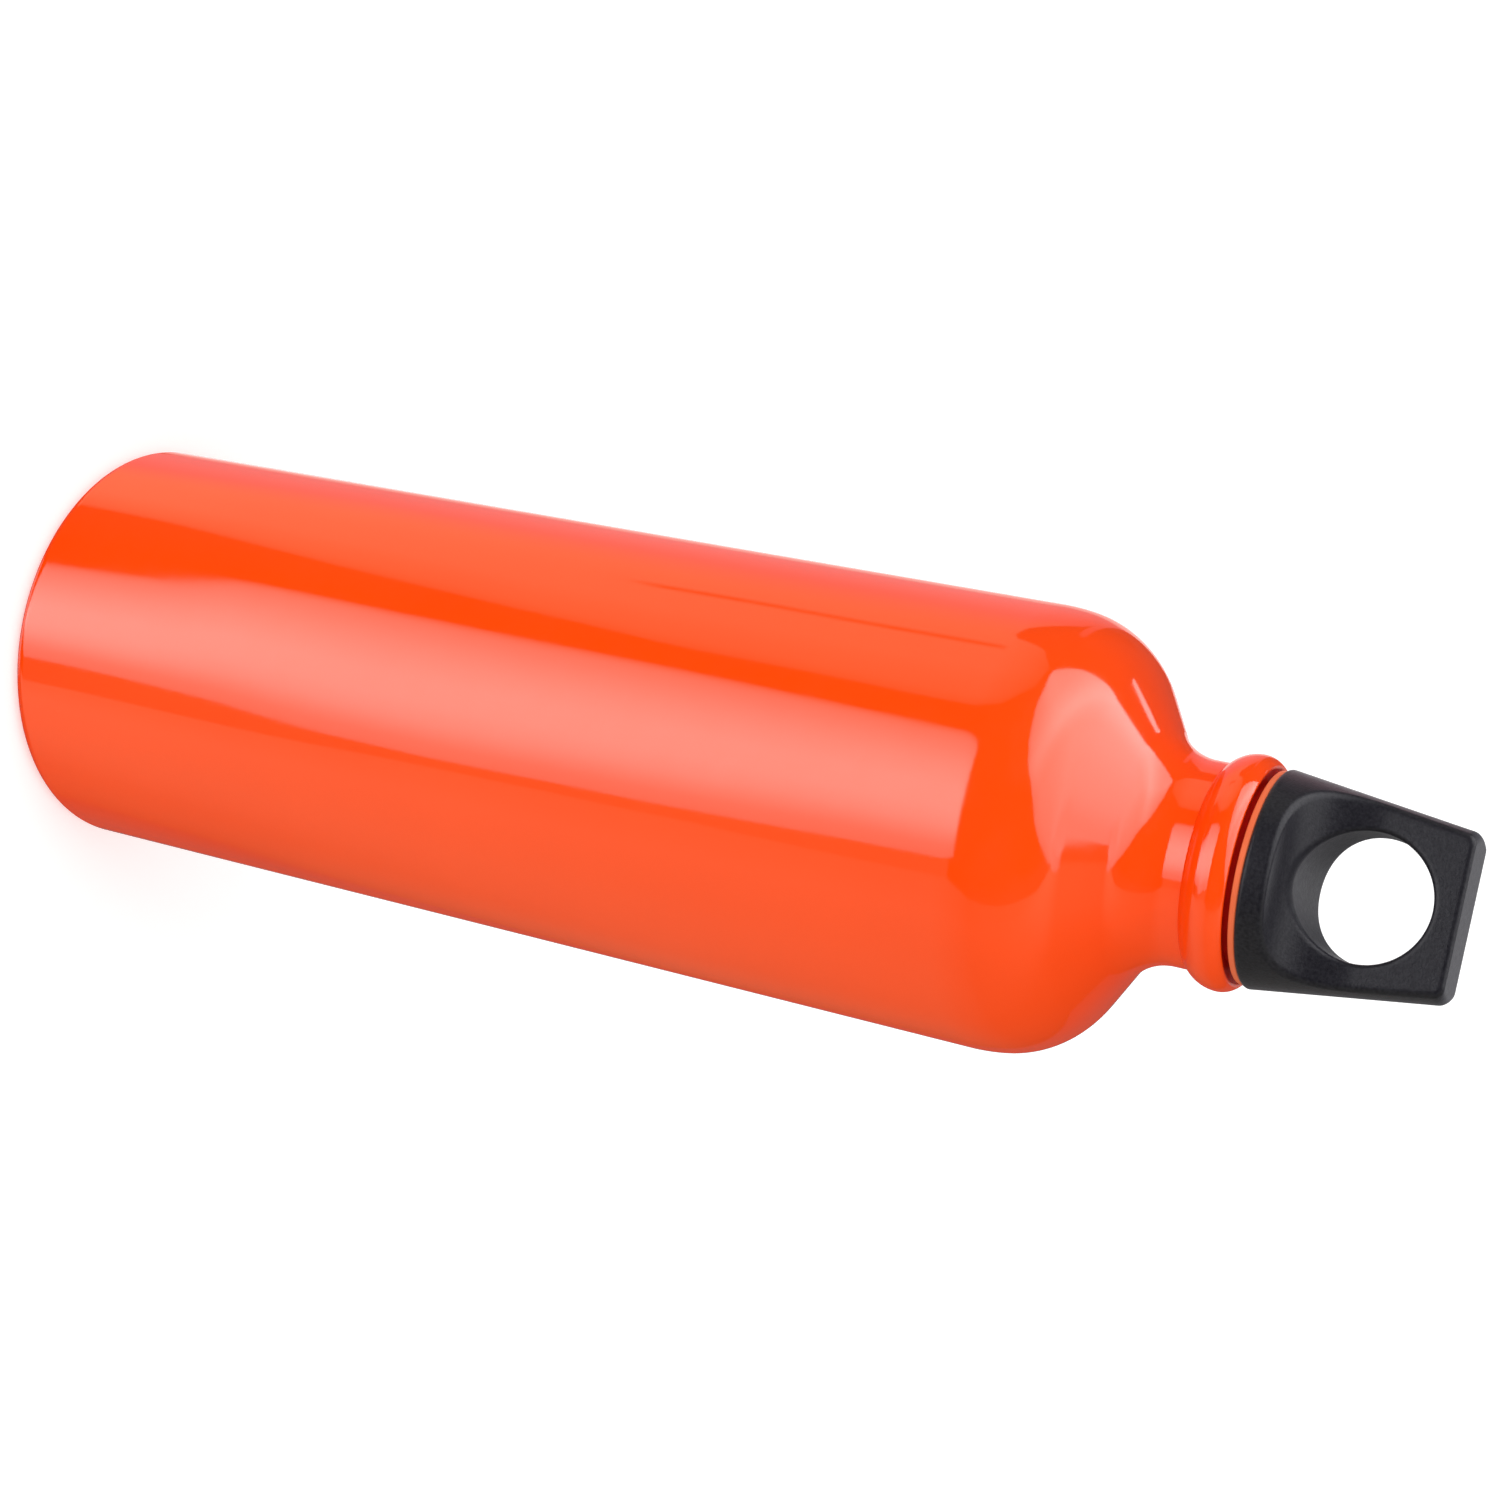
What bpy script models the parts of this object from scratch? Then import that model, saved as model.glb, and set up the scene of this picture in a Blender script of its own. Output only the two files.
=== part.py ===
"""Aluminium liquid-fuel bottle with a moulded screw cap that ends in a carrying loop.

Three separate pieces, standing upright with the base on z = 0 and the axis on +Z:
  bottle_shell  one-piece drawn aluminium shell: dished base, shoulder, collar and mouth lip
  seal_ring     flat silicone gasket that sits on the mouth lip
  loop_cap      black moulding: tapered loop with scooped faces, flange and cored screw plug
The cap leaves the bottle by turning, and rises by one thread pitch for each turn.
"""

import math

import bmesh
import bpy

MM = 0.001
OBJECT_NAME = "fuel_bottle"

# Shell, outside
BODY_DIAMETER = 75.0 * MM
BODY_STRAIGHT_TOP = 188.0 * MM       # height at which the shoulder starts to turn in
BASE_EDGE_RADIUS = 3.0 * MM
SHOULDER_RADIUS = 17.4 * MM
SHOULDER_ANGLE = 58.5                # degrees that the shoulder turns before its straight slope
THROAT_RADIUS = 9.7 * MM             # hollow fillet from the slope into the neck
NECK_LENGTH = 2.8 * MM
COLLAR_PROUD = 2.35 * MM             # how far the collar's widest ring stands out from the neck
COLLAR_LOWER_HEIGHT = 4.7 * MM       # from the neck up to that ring
COLLAR_UPPER_HEIGHT = 2.5 * MM       # from the ring up to the collar's flat top
COLLAR_TOP_INSET = 1.05 * MM         # from the ring in to the flat top
LIP_INSET = 1.9 * MM                 # from there in to the raised lip
LIP_HEIGHT = 0.7 * MM

# Shell, inside and underneath
BODY_WALL = 1.1 * MM
BASE_WALL = 1.6 * MM
MOUTH_DIAMETER = 27.0 * MM
MOUTH_CHAMFER = 0.5 * MM
NECK_WALL = 3.5 * MM                 # thick, because it holds the thread
FOOT_WIDTH = 2.6 * MM                # flat ring that the bottle stands on
FOOT_STEP_RADIUS = 2.5 * MM          # hollow fillet between the foot ring and the dished base
FOOT_STEP_ANGLE = 60.0               # degrees, steepest slope of that step
BASE_DOME_SLOPE = 8.0                # degrees, slope of the dished base where it starts
INSIDE_CORNER_RADIUS = 1.6 * MM

# Fits between the pieces
SEAT_GAP = 0.3 * MM                  # between faces that rest on each other
THREAD_ROOM = 1.4 * MM               # radial room for both threads, between plug and mouth
SEAL_BORE_GAP = 0.3 * MM             # radial, between the ring and the plug

# Seal ring
SEAL_THICKNESS = 0.8 * MM
SEAL_INSET = 0.2 * MM                # how far the ring stays inside the flange's edge

# Loop cap
CAP_INSET = 0.4 * MM                 # how far the flange's edge stays inside the collar's flat top
CAP_LENGTH = 31.2 * MM               # from the flange face to the end of the loop
CAP_TAPER = 7.9                      # degrees a side
CAP_END_RADIUS = 1.4 * MM
FLANGE_EDGE_RADIUS = 0.6 * MM
LOOP_THICKNESS = 10.6 * MM
LOOP_HOLE_DIAMETER = 21.1 * MM
LOOP_HOLE_HEIGHT = 16.3 * MM         # hole's centre above the flange face
SCOOP_RADIUS = 10.7 * MM
SCOOP_HEIGHT = 14.6 * MM             # where the scoop runs out flat, above the flange face
LOOP_EDGE_ROUND = 0.7 * MM           # set back of the rounding along the loop's outer edges
HOLE_EDGE_ROUND = 0.5 * MM

# Screw plug under the flange
PLUG_LENGTH = 15.0 * MM
PLUG_WALL = 2.0 * MM
PLUG_LEAD_IN = 1.0 * MM
CORE_ROOF = 1.5 * MM                 # solid left between the plug's core and the flange face
CORE_FILLET = 1.5 * MM

# Facets
BOTTLE_STEPS = 64
LOOP_EDGE_FACET = 2.5                # the loop's edges run along the middle of the cap's third facets
HOLE_STEPS = 48
FACET_DEPTH = 0.04 * MM              # how far a facet may lie inside the arc that it stands for
CAP_FACET_DEPTH = 0.1 * MM           # coarser on the cap's edges, which leaves room to round them
ROUNDING_SEGMENTS = 2
LOOP_POINT_SPACING = 0.9 * MM        # cut points closer than this are merged before rounding
HOLE_POINT_SPACING = 0.5 * MM
WALL_TOLERANCE = 0.1 * MM            # for telling which points lie on the hole's wall
CUT_MARGIN = 2.0 * MM
SHARP_ANGLE = 35.0                   # degrees between faces, above which an edge isn't smooth
MERGE_DISTANCE = 0.01 * MM
AXIS = 0.0

# Sizes that follow from the ones above
BODY_RADIUS = BODY_DIAMETER / 2
FOOT_INNER_RADIUS = BODY_RADIUS - BASE_EDGE_RADIUS - FOOT_WIDTH
MOUTH_RADIUS = MOUTH_DIAMETER / 2
NECK_RADIUS = MOUTH_RADIUS + NECK_WALL
COLLAR_RADIUS = NECK_RADIUS + COLLAR_PROUD
COLLAR_TOP_RADIUS = COLLAR_RADIUS - COLLAR_TOP_INSET
LIP_RADIUS = COLLAR_TOP_RADIUS - LIP_INSET
CAP_BASE_RADIUS = COLLAR_TOP_RADIUS - CAP_INSET
PLUG_RADIUS = MOUTH_RADIUS - THREAD_ROOM

SHOULDER_SIN = math.sin(math.radians(SHOULDER_ANGLE))
SHOULDER_COS = math.cos(math.radians(SHOULDER_ANGLE))
THROAT_CENTRE_R = NECK_RADIUS + THROAT_RADIUS
SHOULDER_CENTRE_R = BODY_RADIUS - SHOULDER_RADIUS
SLOPE_DROP = (SHOULDER_CENTRE_R + SHOULDER_RADIUS * SHOULDER_COS
              - THROAT_CENTRE_R + THROAT_RADIUS * SHOULDER_COS)
NECK_BOTTOM = (BODY_STRAIGHT_TOP + (SHOULDER_RADIUS + THROAT_RADIUS) * SHOULDER_SIN
               + SLOPE_DROP / SHOULDER_SIN * SHOULDER_COS)
COLLAR_BOTTOM = NECK_BOTTOM + NECK_LENGTH
COLLAR_CROWN = COLLAR_BOTTOM + COLLAR_LOWER_HEIGHT
COLLAR_TOP = COLLAR_CROWN + COLLAR_UPPER_HEIGHT
LIP_TOP = COLLAR_TOP + LIP_HEIGHT
SEAL_BOTTOM = LIP_TOP + SEAT_GAP
FLANGE_BOTTOM = SEAL_BOTTOM + SEAL_THICKNESS + SEAT_GAP
CAP_TOP = FLANGE_BOTTOM + CAP_LENGTH
PLUG_BOTTOM = FLANGE_BOTTOM - PLUG_LENGTH


def arc(centre_r, centre_z, radius, start, end, depth=FACET_DEPTH):
    """Points (r, z) along an arc; degrees, with 0 pointing outward and 90 pointing up."""
    facet_angle = 2 * math.degrees(math.acos(1 - depth / radius))
    steps = math.ceil(abs(end - start) / facet_angle)
    points = []
    for i in range(steps + 1):
        angle = math.radians(start + (end - start) * i / steps)
        points.append((centre_r + radius * math.cos(angle), centre_z + radius * math.sin(angle)))
    return points


def collar_arc(end_r, end_z):
    """Arc from the collar's widest ring, where it runs upright, to a smaller ring above or below."""
    drop = COLLAR_RADIUS - end_r
    rise = end_z - COLLAR_CROWN
    radius = (rise * rise + drop * drop) / (2 * drop)
    sweep = math.copysign(2 * math.atan2(drop, abs(rise)), rise)
    return arc(COLLAR_RADIUS - radius, COLLAR_CROWN, radius, 0, math.degrees(sweep))


def new_collection(name):
    collection = bpy.data.collections.new(name)
    bpy.context.scene.collection.children.link(collection)
    return collection


def add_object(name, mesh, collection):
    obj = bpy.data.objects.new(name, mesh)
    collection.objects.link(obj)
    return obj


def new_material(name, colour, roughness, metallic=0.0, coat=0.0):
    material = bpy.data.materials.new(name)
    material.use_nodes = True
    shader = material.node_tree.nodes["Principled BSDF"]
    shader.inputs["Base Color"].default_value = (*colour, 1.0)
    shader.inputs["Roughness"].default_value = roughness
    shader.inputs["Metallic"].default_value = metallic
    shader.inputs["Coat Weight"].default_value = coat
    return material


def turned(name, profile, steps, collection, closed=False):
    """Solid of revolution about Z; the profile's outer side runs from top to bottom."""
    mesh = bpy.data.meshes.new(name)
    edges = [(i, i + 1) for i in range(len(profile) - 1)]
    if closed:
        edges.append((len(profile) - 1, 0))
    mesh.from_pydata([(r, 0.0, z) for r, z in profile], edges, [])
    obj = add_object(name, mesh, collection)
    screw = obj.modifiers.new("turn", "SCREW")
    screw.steps = steps
    screw.render_steps = steps
    screw.use_merge_vertices = True
    screw.merge_threshold = MERGE_DISTANCE
    return obj


def extruded(name, outline, half_width, collection):
    """Prism along X from an outline of (y, z) points given anticlockwise, seen from +X."""
    bm = bmesh.new()
    near = [bm.verts.new((-half_width, y, z)) for y, z in outline]
    face = bm.faces.new(near)
    moved = bmesh.ops.extrude_face_region(bm, geom=[face])
    verts = [item for item in moved["geom"] if isinstance(item, bmesh.types.BMVert)]
    bmesh.ops.translate(bm, verts=verts, vec=(2 * half_width, 0, 0))
    bmesh.ops.recalc_face_normals(bm, faces=bm.faces)
    mesh = bpy.data.meshes.new(name)
    bm.to_mesh(mesh)
    bm.free()
    return add_object(name, mesh, collection)


def make_cutter(obj):
    obj.hide_render = True
    obj.display_type = "WIRE"
    return obj


def cut(obj, cutter):
    boolean = obj.modifiers.new(cutter.name, "BOOLEAN")
    boolean.operation = "DIFFERENCE"
    boolean.solver = "EXACT"
    boolean.object = cutter


def apply_modifiers(obj):
    graph = bpy.context.evaluated_depsgraph_get()
    mesh = bpy.data.meshes.new_from_object(obj.evaluated_get(graph))
    obj.modifiers.clear()
    obj.data = mesh
    mesh.name = obj.name


def finish(obj, material):
    """Apply the modifiers, give the piece its material and shade it smooth."""
    apply_modifiers(obj)
    mesh = obj.data
    mesh.materials.clear()
    mesh.materials.append(material)
    mesh.shade_smooth()
    mesh.set_sharp_from_angle(angle=math.radians(SHARP_ANGLE))


def shell_outside():
    """From the mouth's lip down to the middle of the dished base."""
    profile = [(MOUTH_RADIUS + MOUTH_CHAMFER, LIP_TOP), (LIP_RADIUS, LIP_TOP), (LIP_RADIUS, COLLAR_TOP)]
    profile += collar_arc(COLLAR_TOP_RADIUS, COLLAR_TOP)[::-1]
    profile += collar_arc(NECK_RADIUS, COLLAR_BOTTOM)[1:]
    profile += arc(THROAT_CENTRE_R, NECK_BOTTOM, THROAT_RADIUS, 180, 180 + SHOULDER_ANGLE)
    profile += arc(SHOULDER_CENTRE_R, BODY_STRAIGHT_TOP, SHOULDER_RADIUS, SHOULDER_ANGLE, 0)
    edge_centre_r = BODY_RADIUS - BASE_EDGE_RADIUS
    profile += arc(edge_centre_r, BASE_EDGE_RADIUS, BASE_EDGE_RADIUS, 0, -90)
    # The foot ring turns in with the wall's own thickness as its radius, about the inner corner.
    profile += arc(FOOT_INNER_RADIUS, BASE_WALL, BASE_WALL, -90, -90 - FOOT_STEP_ANGLE)
    profile += base_dish(0.0)[1:]
    return profile


def base_dish(height):
    """Underside of the dished base, or its upper side when height is the base's wall."""
    turn = math.radians(90 - FOOT_STEP_ANGLE)
    reach = BASE_WALL + FOOT_STEP_RADIUS
    step_r = FOOT_INNER_RADIUS - reach * math.cos(turn)
    step_z = BASE_WALL - reach * math.sin(turn)
    points = arc(step_r, step_z, FOOT_STEP_RADIUS + height, 90 - FOOT_STEP_ANGLE, 90 - BASE_DOME_SLOPE)
    rim_r, rim_z = points[-1]
    dome_radius = rim_r / math.sin(math.radians(BASE_DOME_SLOPE))
    dome_centre_z = rim_z - dome_radius * math.cos(math.radians(BASE_DOME_SLOPE))
    points += arc(AXIS, dome_centre_z, dome_radius, 90 - BASE_DOME_SLOPE, 90)[1:]
    points[-1] = (AXIS, points[-1][1])
    return points


def shell_inside():
    """From the middle of the floor, up the wall and through the neck, to the mouth."""
    profile = base_dish(BASE_WALL)[::-1]
    corner_r = BODY_RADIUS - BODY_WALL - INSIDE_CORNER_RADIUS
    profile += arc(corner_r, BASE_WALL + INSIDE_CORNER_RADIUS, INSIDE_CORNER_RADIUS, -90, 0)
    profile += arc(SHOULDER_CENTRE_R, BODY_STRAIGHT_TOP, SHOULDER_RADIUS - BODY_WALL, 0, SHOULDER_ANGLE)
    profile += arc(THROAT_CENTRE_R, NECK_BOTTOM, THROAT_CENTRE_R - MOUTH_RADIUS, 180 + SHOULDER_ANGLE, 180)
    profile.append((MOUTH_RADIUS, LIP_TOP - MOUTH_CHAMFER))
    return profile


def build_bottle_shell(parts):
    shell = turned("bottle_shell", shell_inside() + shell_outside(), BOTTLE_STEPS, parts)
    finish(shell, new_material("orange_lacquer", (1.0, 0.10, 0.01), 0.18, coat=1.0))
    return shell


def build_seal_ring(parts):
    inner = PLUG_RADIUS + SEAL_BORE_GAP
    outer = CAP_BASE_RADIUS - SEAL_INSET
    top = SEAL_BOTTOM + SEAL_THICKNESS
    profile = [(inner, top), (outer, top), (outer, SEAL_BOTTOM), (inner, SEAL_BOTTOM)]
    ring = turned("seal_ring", profile, BOTTLE_STEPS, parts, closed=True)
    finish(ring, new_material("orange_silicone", (0.95, 0.22, 0.06), 0.55))
    return ring


def cap_steps():
    """Facets round the cap, chosen so that no facet's border crosses a long edge of the loop."""
    end_radius = CAP_BASE_RADIUS - CAP_LENGTH * math.tan(math.radians(CAP_TAPER))
    edge_angles = [math.asin(LOOP_THICKNESS / 2 / radius) for radius in (CAP_BASE_RADIUS, end_radius)]
    facet_angle = sum(edge_angles) / 2 / LOOP_EDGE_FACET
    return 4 * round(math.tau / facet_angle / 4)


def cone_fillet(centre_z, radius, start, end):
    """Fillet on the cap's tapered side, touching it from inside, with its centre at centre_z."""
    taper = math.radians(CAP_TAPER)
    centre_r = CAP_BASE_RADIUS - (centre_z - FLANGE_BOTTOM) * math.tan(taper) - radius / math.cos(taper)
    return arc(centre_r, centre_z, radius, start, end, CAP_FACET_DEPTH)


def cap_blank_profile():
    """From the middle of the loop's end, down the taper, flange and plug, to the core's roof."""
    core_radius = PLUG_RADIUS - PLUG_WALL
    core_top = FLANGE_BOTTOM - CORE_ROOF
    profile = [(AXIS, CAP_TOP)]
    profile += cone_fillet(CAP_TOP - CAP_END_RADIUS, CAP_END_RADIUS, 90, CAP_TAPER)
    profile += cone_fillet(FLANGE_BOTTOM + FLANGE_EDGE_RADIUS, FLANGE_EDGE_RADIUS, CAP_TAPER, -90)
    profile += [(PLUG_RADIUS, FLANGE_BOTTOM), (PLUG_RADIUS, PLUG_BOTTOM + PLUG_LEAD_IN)]
    profile += [(PLUG_RADIUS - PLUG_LEAD_IN, PLUG_BOTTOM), (core_radius, PLUG_BOTTOM)]
    profile += arc(core_radius - CORE_FILLET, core_top - CORE_FILLET, CORE_FILLET, 0, 90)
    profile.append((AXIS, core_top))
    return profile


def scoop_cutter(side, cutters):
    """Removes one face of the blank: flat beside the loop, hollowed out above the flange."""
    face_y = LOOP_THICKNESS / 2
    run_out = FLANGE_BOTTOM + SCOOP_HEIGHT
    reach = CAP_BASE_RADIUS + CUT_MARGIN
    top = CAP_TOP + CUT_MARGIN
    outline = arc(face_y + SCOOP_RADIUS, run_out, SCOOP_RADIUS, 180, 270)
    outline += [(reach, run_out - SCOOP_RADIUS), (reach, top), (face_y, top)]
    outline = [(side * y, z) for y, z in outline]
    return make_cutter(extruded("scoop_cut", outline, reach, cutters))


def loop_hole_cutter(cutters):
    bpy.ops.mesh.primitive_cylinder_add(
        vertices=HOLE_STEPS,
        radius=LOOP_HOLE_DIAMETER / 2,
        depth=2 * (CAP_BASE_RADIUS + CUT_MARGIN),
        location=(0, 0, FLANGE_BOTTOM + LOOP_HOLE_HEIGHT),
        rotation=(math.radians(90), 0, 0),
    )
    cylinder = bpy.context.active_object
    cylinder.name = "loop_hole_cut"
    for collection in list(cylinder.users_collection):
        collection.objects.unlink(cylinder)
    cutters.objects.link(cylinder)
    return make_cutter(cylinder)


def round_edges(mesh, width, spacing, chosen):
    """Round the sharp edges among the chosen points, after merging points too close to round.

    Where the facets beside an edge are narrower than the width, the rounding is as wide as they allow.
    """
    bm = bmesh.new()
    bm.from_mesh(mesh)
    points = [vert for vert in bm.verts if chosen(vert.co)]
    bmesh.ops.remove_doubles(bm, verts=points, dist=spacing)
    edges = []
    for edge in bm.edges:
        if all(chosen(vert.co) for vert in edge.verts):
            if math.degrees(edge.calc_face_angle(0.0)) > SHARP_ANGLE:
                edges.append(edge)
    bmesh.ops.bevel(
        bm,
        geom=edges,
        offset=width,
        segments=ROUNDING_SEGMENTS,
        profile=0.5,
        affect="EDGES",
        clamp_overlap=True,
    )
    bm.to_mesh(mesh)
    bm.free()


def above_flange(point):
    return point.z > FLANGE_BOTTOM + 2 * FLANGE_EDGE_RADIUS


def on_hole_wall(point):
    distance = math.hypot(point.x, point.z - FLANGE_BOTTOM - LOOP_HOLE_HEIGHT)
    return abs(distance - LOOP_HOLE_DIAMETER / 2) < WALL_TOLERANCE


def build_loop_cap(parts, cutters):
    cap = turned("loop_cap", cap_blank_profile(), cap_steps(), parts)
    for side in (1, -1):
        cut(cap, scoop_cutter(side, cutters))
    apply_modifiers(cap)
    round_edges(cap.data, LOOP_EDGE_ROUND, LOOP_POINT_SPACING, above_flange)
    cut(cap, loop_hole_cutter(cutters))
    apply_modifiers(cap)
    round_edges(cap.data, HOLE_EDGE_ROUND, HOLE_POINT_SPACING, on_hole_wall)
    finish(cap, new_material("black_moulding", (0.02, 0.022, 0.026), 0.5))
    return cap


def main():
    for obj in list(bpy.data.objects):
        bpy.data.objects.remove(obj, do_unlink=True)
    parts = new_collection(OBJECT_NAME)
    cutters = new_collection("cutters")
    build_bottle_shell(parts)
    build_seal_ring(parts)
    build_loop_cap(parts, cutters)


main()
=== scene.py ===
"""Looks of the fuel bottle: fine shapes, finishes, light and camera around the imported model."""

import math

import bmesh
import bpy
import numpy as np
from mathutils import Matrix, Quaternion, Vector


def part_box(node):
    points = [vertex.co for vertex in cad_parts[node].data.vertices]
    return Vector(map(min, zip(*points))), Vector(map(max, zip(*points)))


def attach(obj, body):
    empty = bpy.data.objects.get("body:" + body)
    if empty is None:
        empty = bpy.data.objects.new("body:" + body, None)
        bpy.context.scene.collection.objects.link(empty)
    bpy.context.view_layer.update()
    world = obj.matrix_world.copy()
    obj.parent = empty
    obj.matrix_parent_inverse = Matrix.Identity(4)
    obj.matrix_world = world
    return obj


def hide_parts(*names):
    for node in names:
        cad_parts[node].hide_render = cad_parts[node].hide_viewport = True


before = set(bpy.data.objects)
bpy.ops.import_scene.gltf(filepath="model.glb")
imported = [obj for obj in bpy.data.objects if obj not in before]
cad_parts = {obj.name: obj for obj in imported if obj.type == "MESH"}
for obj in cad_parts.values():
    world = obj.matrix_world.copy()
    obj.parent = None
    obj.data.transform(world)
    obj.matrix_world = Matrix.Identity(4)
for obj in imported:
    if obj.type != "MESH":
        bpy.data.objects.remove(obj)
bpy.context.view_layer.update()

MM = 0.001

# Sizes read from the frame
shell_low, shell_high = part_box("bottle_shell")
seal_low, seal_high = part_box("seal_ring")
cap_low, cap_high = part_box("loop_cap")
BODY_RADIUS = (shell_high.x - shell_low.x) / 2
LIP_TOP = shell_high.z
SEAL_RADIUS = (seal_high.x - seal_low.x) / 2
CAP_TOP = cap_high.z
PLUG_BOTTOM = cap_low.z

# Shell: the solid's sizes, with a softer shoulder, collar edge and lip; angles are degrees
BODY_STRAIGHT_TOP = 188.0 * MM
BODY_WALL = 1.1 * MM
BASE_EDGE_RADIUS = 3.0 * MM
BASE_WALL = 1.6 * MM
BASE_DOME_SLOPE = 8.0
INSIDE_CORNER_RADIUS = 1.6 * MM
FOOT_WIDTH = 2.6 * MM
FOOT_STEP_RADIUS = 2.5 * MM
FOOT_STEP_ANGLE = 60.0
SHOULDER_RADIUS = 17.4 * MM
SHOULDER_ANGLE = 58.5
SHOULDER_EASE_RADIUS = 32.0 * MM      # wider arc between the straight wall and the shoulder
SHOULDER_EASE_ANGLE = 10.0
SHOULDER_THICKENING = 1.1             # wall there, as a share of the body's wall
THROAT_RADIUS = 9.7 * MM
NECK_RADIUS = 17.0 * MM
NECK_BOTTOM = 215.74 * MM
COLLAR_RADIUS = 19.35 * MM            # at its crown, the widest ring
COLLAR_TOP_RADIUS = 18.3 * MM
COLLAR_BOTTOM = 218.54 * MM
COLLAR_LOWER_HEIGHT = 4.7 * MM        # from the bottom up to the crown
COLLAR_BEAD_RADIUS = 0.6 * MM
COLLAR_BEAD_END = 150.0               # direction in which the bead runs into the groove
GROOVE_DISH = 0.7 * MM                # depth of the groove between collar and lip
LIP_RADIUS = 15.0 * MM
LIP_HEIGHT = 0.7 * MM
LIP_EDGE_RADIUS = 0.2 * MM
MOUTH_RADIUS = 13.5 * MM
MOUTH_CHAMFER = 0.5 * MM

COLLAR_CROWN = COLLAR_BOTTOM + COLLAR_LOWER_HEIGHT
COLLAR_TOP = LIP_TOP - LIP_HEIGHT
FOOT_INNER_RADIUS = BODY_RADIUS - BASE_EDGE_RADIUS - FOOT_WIDTH
SHOULDER_CENTRE_R = BODY_RADIUS - SHOULDER_RADIUS
THROAT_CENTRE_R = NECK_RADIUS + THROAT_RADIUS

# Cap: the solid's sizes, with wider scoops and softer edges
PLUG_LENGTH = 15.0 * MM
PLUG_RADIUS = 12.1 * MM
PLUG_LEAD_IN = 1.0 * MM
PLUG_END_RADIUS = 0.2 * MM
CORE_RADIUS = 10.1 * MM
CORE_ROOF = 1.5 * MM
CORE_FILLET = 1.5 * MM
CAP_BASE_RADIUS = 17.9 * MM
CAP_LENGTH = 31.2 * MM
CAP_TAPER = 7.9
CAP_END_RADIUS = 1.4 * MM
FLANGE_EDGE_RADIUS = 0.6 * MM
LOOP_THICKNESS = 10.6 * MM
LOOP_EDGE_RADIUS = 0.8 * MM
LOOP_HOLE_RADIUS = 10.4 * MM
LOOP_HOLE_HEIGHT = 16.5 * MM
HOLE_EDGE_RADIUS = 0.8 * MM
SCOOP_RADIUS = 10.7 * MM
SCOOP_HEIGHT = 14.8 * MM
SCOOP_EASE_RADIUS = 18.0 * MM         # wider arc between the flat face and the scoop
SCOOP_EASE_ANGLE = 25.0
FLANGE_BOTTOM = PLUG_BOTTOM + PLUG_LENGTH

# Thread: the ridges of the plug and of the mouth run half a pitch apart
THREAD_PITCH = 4.0 * MM
THREAD_CREST = 0.8 * MM
THREAD_FLANK = 0.45 * MM
THREAD_FADE = 2.0 * MM
PLUG_RIDGE = 0.9 * MM
PLUG_THREAD_TOP = FLANGE_BOTTOM - 1.5 * MM
PLUG_THREAD_BOTTOM = PLUG_BOTTOM + 0.5 * MM
PLUG_THREAD_OFFSET = 0.0
MOUTH_RIDGE = 0.9 * MM
MOUTH_THREAD_TOP = LIP_TOP - 1.0 * MM
MOUTH_THREAD_BOTTOM = LIP_TOP - 15.0 * MM
MOUTH_THREAD_OFFSET = 0.5

# Seal
SEAL_BORE_RADIUS = 12.4 * MM
SEAL_INSET = 0.3 * MM
SEAL_BRIM_HEIGHT = 1.1 * MM
SEAL_FOOT_RADIUS = 15.4 * MM
SEAL_EDGE_RADIUS = 0.25 * MM
SEAL_CLEARANCE = 0.04 * MM

# Fineness of the meshes
TURN_STEPS = 256
BORE_RING_SPACING = 0.2 * MM
BORE_TOLERANCE = 0.01 * MM            # for telling which points lie on the mouth's bore
MERGE_DISTANCE = 0.002 * MM
SHARP_ANGLE = 40.0
FIELD_CELL = 0.3 * MM
FIELD_MARGIN = 3 * FIELD_CELL
SLOPE_STEP = 0.02 * MM
LEAST_SLOPE = 0.5
FIRST_ROUNDS = 4
SMOOTHING_PASSES = 6
SETTLING_ROUNDS = 2

# Order of the shell's materials
LACQUER = 0
ALUMINIUM = 1
# lacquer darkened with painted shade, for the groove under the seal
GROOVE_PAINTED_SHADE = 2

# Most of a noise texture's values lie between these
NOISE_LOW = 0.3
NOISE_HIGH = 0.7

# Studio: azimuths and elevations are degrees as seen from the bottle's middle
MIDDLE = Vector((0, 0, 0.13))
STUDIO_TURN = 3.0
FILL_LEVEL = 0.75
LAMP_SPREAD = 50.0
CARD_COLUMNS = 36
WALL_TINT = (1.0, 1.0, 0.7)
FAR_TINT = (1.0, 0.55, 0.63)
FAR_PART = 0.4                        # share of the left wall that has the far tint
FLOOR_COLOUR = 0.85
FLOOR_LIFT = 0.4
FLOOR_SIZE = 20.0
FLOOR_DROP = 0.05 * MM

# Camera, fitted to the photograph's outline
CAMERA_POSITION = Vector((0.02220, -0.42366, 0.33670))
CAMERA_AZIMUTH = 3.44
CAMERA_ELEVATION = 25.61
CAMERA_ROLL = 101.75
CAMERA_LENS = 64.8
CAMERA_SENSOR = 36.0


def direction(azimuth, elevation):
    """Unit vector; azimuth 0 points along -Y and 90 along +X, elevation is above the horizon."""
    a, e = math.radians(azimuth), math.radians(elevation)
    return Vector((math.sin(a) * math.cos(e), -math.cos(a) * math.cos(e), math.sin(e)))


def add_object(name, data):
    obj = bpy.data.objects.new(name, data)
    bpy.context.scene.collection.objects.link(obj)
    return obj


def arc(centre_r, centre_z, radius, start, end, step=3.0):
    """Points (r, z) along an arc, one every few degrees; 0 points outward and 90 up."""
    count = max(2, math.ceil(abs(end - start) / step))
    angles = np.radians(np.linspace(start, end, count + 1))
    return [(centre_r + radius * math.cos(a), centre_z + radius * math.sin(a)) for a in angles]


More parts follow.
